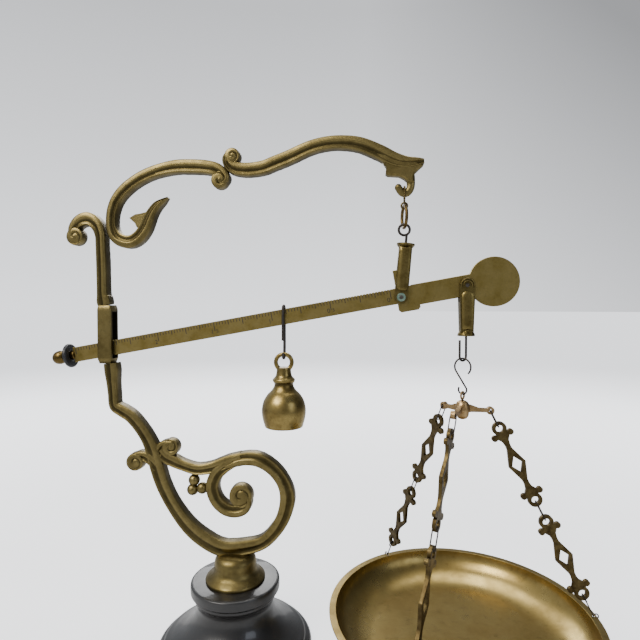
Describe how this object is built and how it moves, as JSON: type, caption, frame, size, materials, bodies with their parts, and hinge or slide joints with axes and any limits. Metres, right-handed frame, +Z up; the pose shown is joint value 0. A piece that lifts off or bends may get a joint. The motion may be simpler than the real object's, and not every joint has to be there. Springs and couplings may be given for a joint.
{
  "type": "steelyard scale",
  "caption": "Unequal-arm hanging balance on a scrolled brass stand: a hooked poise slides on the graduated beam against a pan hung on chains.",
  "frame": {"origin": "centre of the base's underside, on the floor", "axes": "+X along the beam towards the pan, +Y away from the graduated face, +Z up"},
  "size_m": [0.5528, 0.259, 0.5182],
  "materials": {
    "green_felt": "pressed wool felt, matt",
    "japanned_iron": "turned cast iron under black japan, semi-gloss",
    "steel": "dark turned steel",
    "cast_brass": "sand-cast brass, hand finished, dull brown patina",
    "twisted_wire": "twisted brass wire, dark",
    "ring_brass": "drawn brass, tarnished",
    "iron_wire": "drawn iron wire, dark oxide",
    "shackle_brass": "cast brass, filed and tarnished",
    "beam_brass": "rolled brass bar, drawn along its length, engraved",
    "knob_brass": "turned brass, brown patina",
    "black_collar": "hard black rubber, worn to a low gloss",
    "verdigris_brass": "brass washer with green corrosion",
    "poise_brass": "turned and polished brass, warm tarnish",
    "spider_brass": "cast brass, pale and pinkish",
    "pan_brass": "spun sheet brass, polished and worn",
    "chain_brass": "cast brass, dark brown patina"
  },
  "bodies": {
    "stand": {"base_felt": "green_felt", "base_plinth": "japanned_iron", "base_stud": "steel", "base_washer": "steel", "base_nut": "steel", "lower_scroll": "cast_brass", "beam_guide": "cast_brass", "scroll_arm": "cast_brass", "post_studs": "steel"},
    "hanger": {"hanger_loop": "twisted_wire", "hanger_ring": "ring_brass"},
    "shackle": {"shackle_eye": "iron_wire", "fulcrum_shackle": "shackle_brass"},
    "steelyard": {"beam": "beam_brass", "beam_end_knob": "knob_brass", "beam_collar": "black_collar", "fulcrum_pin": "steel", "fulcrum_washers": "verdigris_brass", "load_pin": "steel"},
    "slider": {"poise_hook": "iron_wire"},
    "weight": {"poise": "poise_brass"},
    "load_link": {"load_shackle": "shackle_brass"},
    "load_wire": {"load_hook": "iron_wire"},
    "s_link": {"s_hook": "iron_wire"},
    "pan_set": {"spider": "spider_brass", "spider_eye": "spider_brass", "pan": "pan_brass", "top_wire_1": "iron_wire", "upper_link_1": "chain_brass", "middle_wire_1": "iron_wire", "lower_link_1": "chain_brass", "rim_wire_1": "iron_wire", "top_wire_2": "iron_wire", "upper_link_2": "chain_brass", "middle_wire_2": "iron_wire", "lower_link_2": "chain_brass", "rim_wire_2": "iron_wire", "top_wire_3": "iron_wire", "upper_link_3": "chain_brass", "middle_wire_3": "iron_wire", "lower_link_3": "chain_brass", "rim_wire_3": "iron_wire"}
  },
  "joints": [
    {"name": "hanger_swing", "type": "hinge", "parent": "stand", "child": "hanger", "pos_m": [0.17, 0, 0.46742], "axis": [0, 1, 0], "range_deg": [-3, 3]},
    {"name": "shackle_plumb", "type": "hinge", "parent": "hanger", "child": "shackle", "pos_m": [0.17, 0, 0.4278], "axis": [0, 1, 0], "range_deg": [-3, 3]},
    {"name": "beam_tilt", "type": "hinge", "parent": "shackle", "child": "steelyard", "pos_m": [0.167, 0, 0.3596], "axis": [0, 1, 0], "range_deg": [0, 5.5]},
    {"name": "poise_slide", "type": "slide", "parent": "steelyard", "child": "slider", "axis": [0.9839, 0, 0.1786], "range_m": [-0.082, 0.098]},
    {"name": "poise_swing", "type": "hinge", "parent": "slider", "child": "weight", "pos_m": [0.05058, 0, 0.29872], "axis": [0, 1, 0], "range_deg": [-5.5, 0]},
    {"name": "load_plumb", "type": "hinge", "parent": "steelyard", "child": "load_link", "pos_m": [0.22997, 0, 0.37103], "axis": [0, 1, 0], "range_deg": [-5.5, 0]},
    {"name": "hook_swivel", "type": "hinge", "parent": "load_link", "child": "load_wire", "pos_m": [0.22997, 0, 0.33], "axis": [0, 0, 1], "continuous": true},
    {"name": "s_hook_swing", "type": "hinge", "parent": "load_wire", "child": "s_link", "pos_m": [0.22653, -0.00232, 0.29803], "axis": [0.829, 0.5592, 0], "range_deg": [-4, 4]},
    {"name": "pan_swing", "type": "hinge", "parent": "s_link", "child": "pan_set", "pos_m": [0.22653, -0.00232, 0.26548], "axis": [0.809, -0.5878, 0], "range_deg": [-4, 4]}
  ],
  "couplings": [
    {"joint": "hanger_swing", "follows": "shackle_plumb", "ratio": -1},
    {"joint": "poise_swing", "follows": "beam_tilt", "ratio": -1},
    {"joint": "load_plumb", "follows": "beam_tilt", "ratio": -1}
  ]
}
